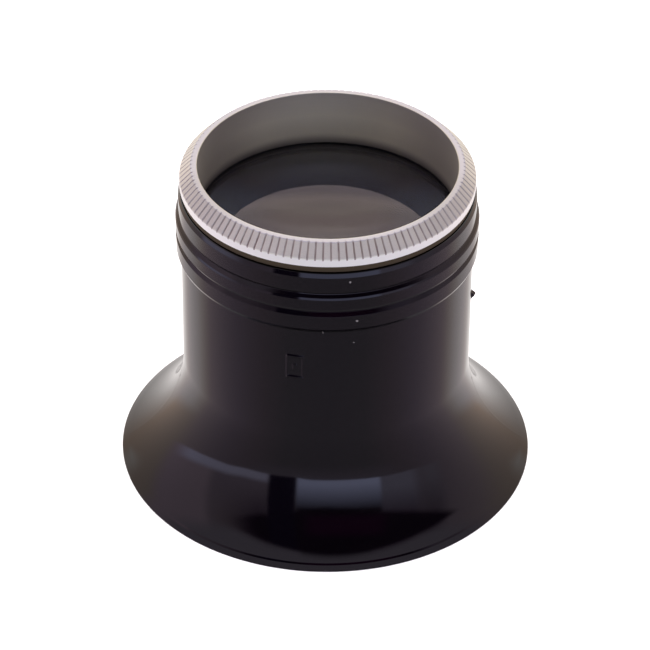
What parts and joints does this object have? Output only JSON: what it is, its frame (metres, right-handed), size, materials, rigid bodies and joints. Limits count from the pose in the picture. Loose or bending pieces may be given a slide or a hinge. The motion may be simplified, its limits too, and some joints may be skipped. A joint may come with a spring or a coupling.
{
  "type": "eye loupe",
  "caption": "Small eye loupe: flared black eyecup with a banded collar, a biconvex lens, and a knurled aluminium ring that screws in over the lens.",
  "frame": {"origin": "centre of the flat eye rim, on the optical axis, on the plane that the loupe stands on", "axes": "+Z along the optical axis from the eye rim to the lens ring; +X points to the small gate mark on the neck; +Y is away from the viewer"},
  "size_m": [0.036, 0.036, 0.0295],
  "materials": {
    "black_plastic": "glossy moulded black, polished on the flare",
    "lens_glass": "polished clear glass",
    "ring_aluminium": "turned satin, natural anodised, fine straight knurl"
  },
  "bodies": {
    "eyecup": {"eyecup_body": "black_plastic"},
    "lens": {"lens": "lens_glass"},
    "ring": {"lens_ring": "ring_aluminium"}
  },
  "joints": [
    {"name": "ring_turn", "type": "hinge", "parent": "eyecup", "child": "lens", "pos_m": [0, 0, 0.0258], "axis": [0, 0, 1], "range_deg": [0, 1440]},
    {"name": "ring_lift", "type": "slide", "parent": "lens", "child": "ring", "axis": [0, 0, 1], "range_m": [0, 0.0031]}
  ],
  "couplings": [
    {"joint": "ring_lift", "follows": "ring_turn", "m_per_rad": 0.00011937}
  ]
}
